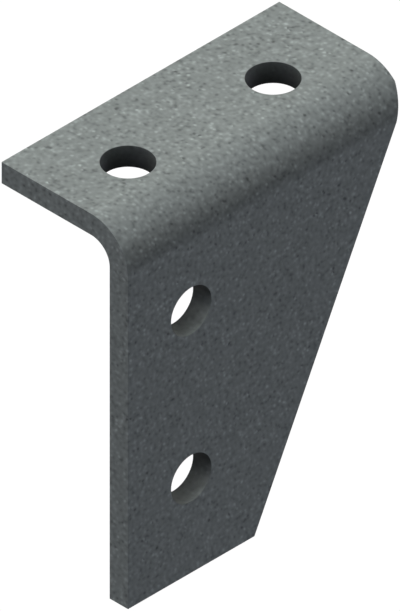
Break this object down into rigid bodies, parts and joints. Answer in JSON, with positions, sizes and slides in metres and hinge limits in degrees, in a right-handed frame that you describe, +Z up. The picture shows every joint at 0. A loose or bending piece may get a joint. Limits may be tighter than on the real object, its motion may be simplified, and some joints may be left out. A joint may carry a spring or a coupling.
{
  "type": "cable ladder splice angle",
  "caption": "Folded steel angle plate with a drilled flange and a drilled leg that tapers to its foot, for splicing cable ladder; dull galvanised finish.",
  "frame": {"origin": "midway between the leg's two bolt holes, on the leg's outer face", "axes": "+X along the fold from the straight side edge to the tapered one; +Y from the leg's outer face back under the flange; +Z up the leg to the flange"},
  "size_m": [0.09, 0.041, 0.105],
  "materials": {
    "galvanised_steel": "dull hot-dip galvanised, fine grained and lightly speckled"
  },
  "bodies": {
    "root": {"splice_angle": "galvanised_steel"}
  },
  "joints": []
}
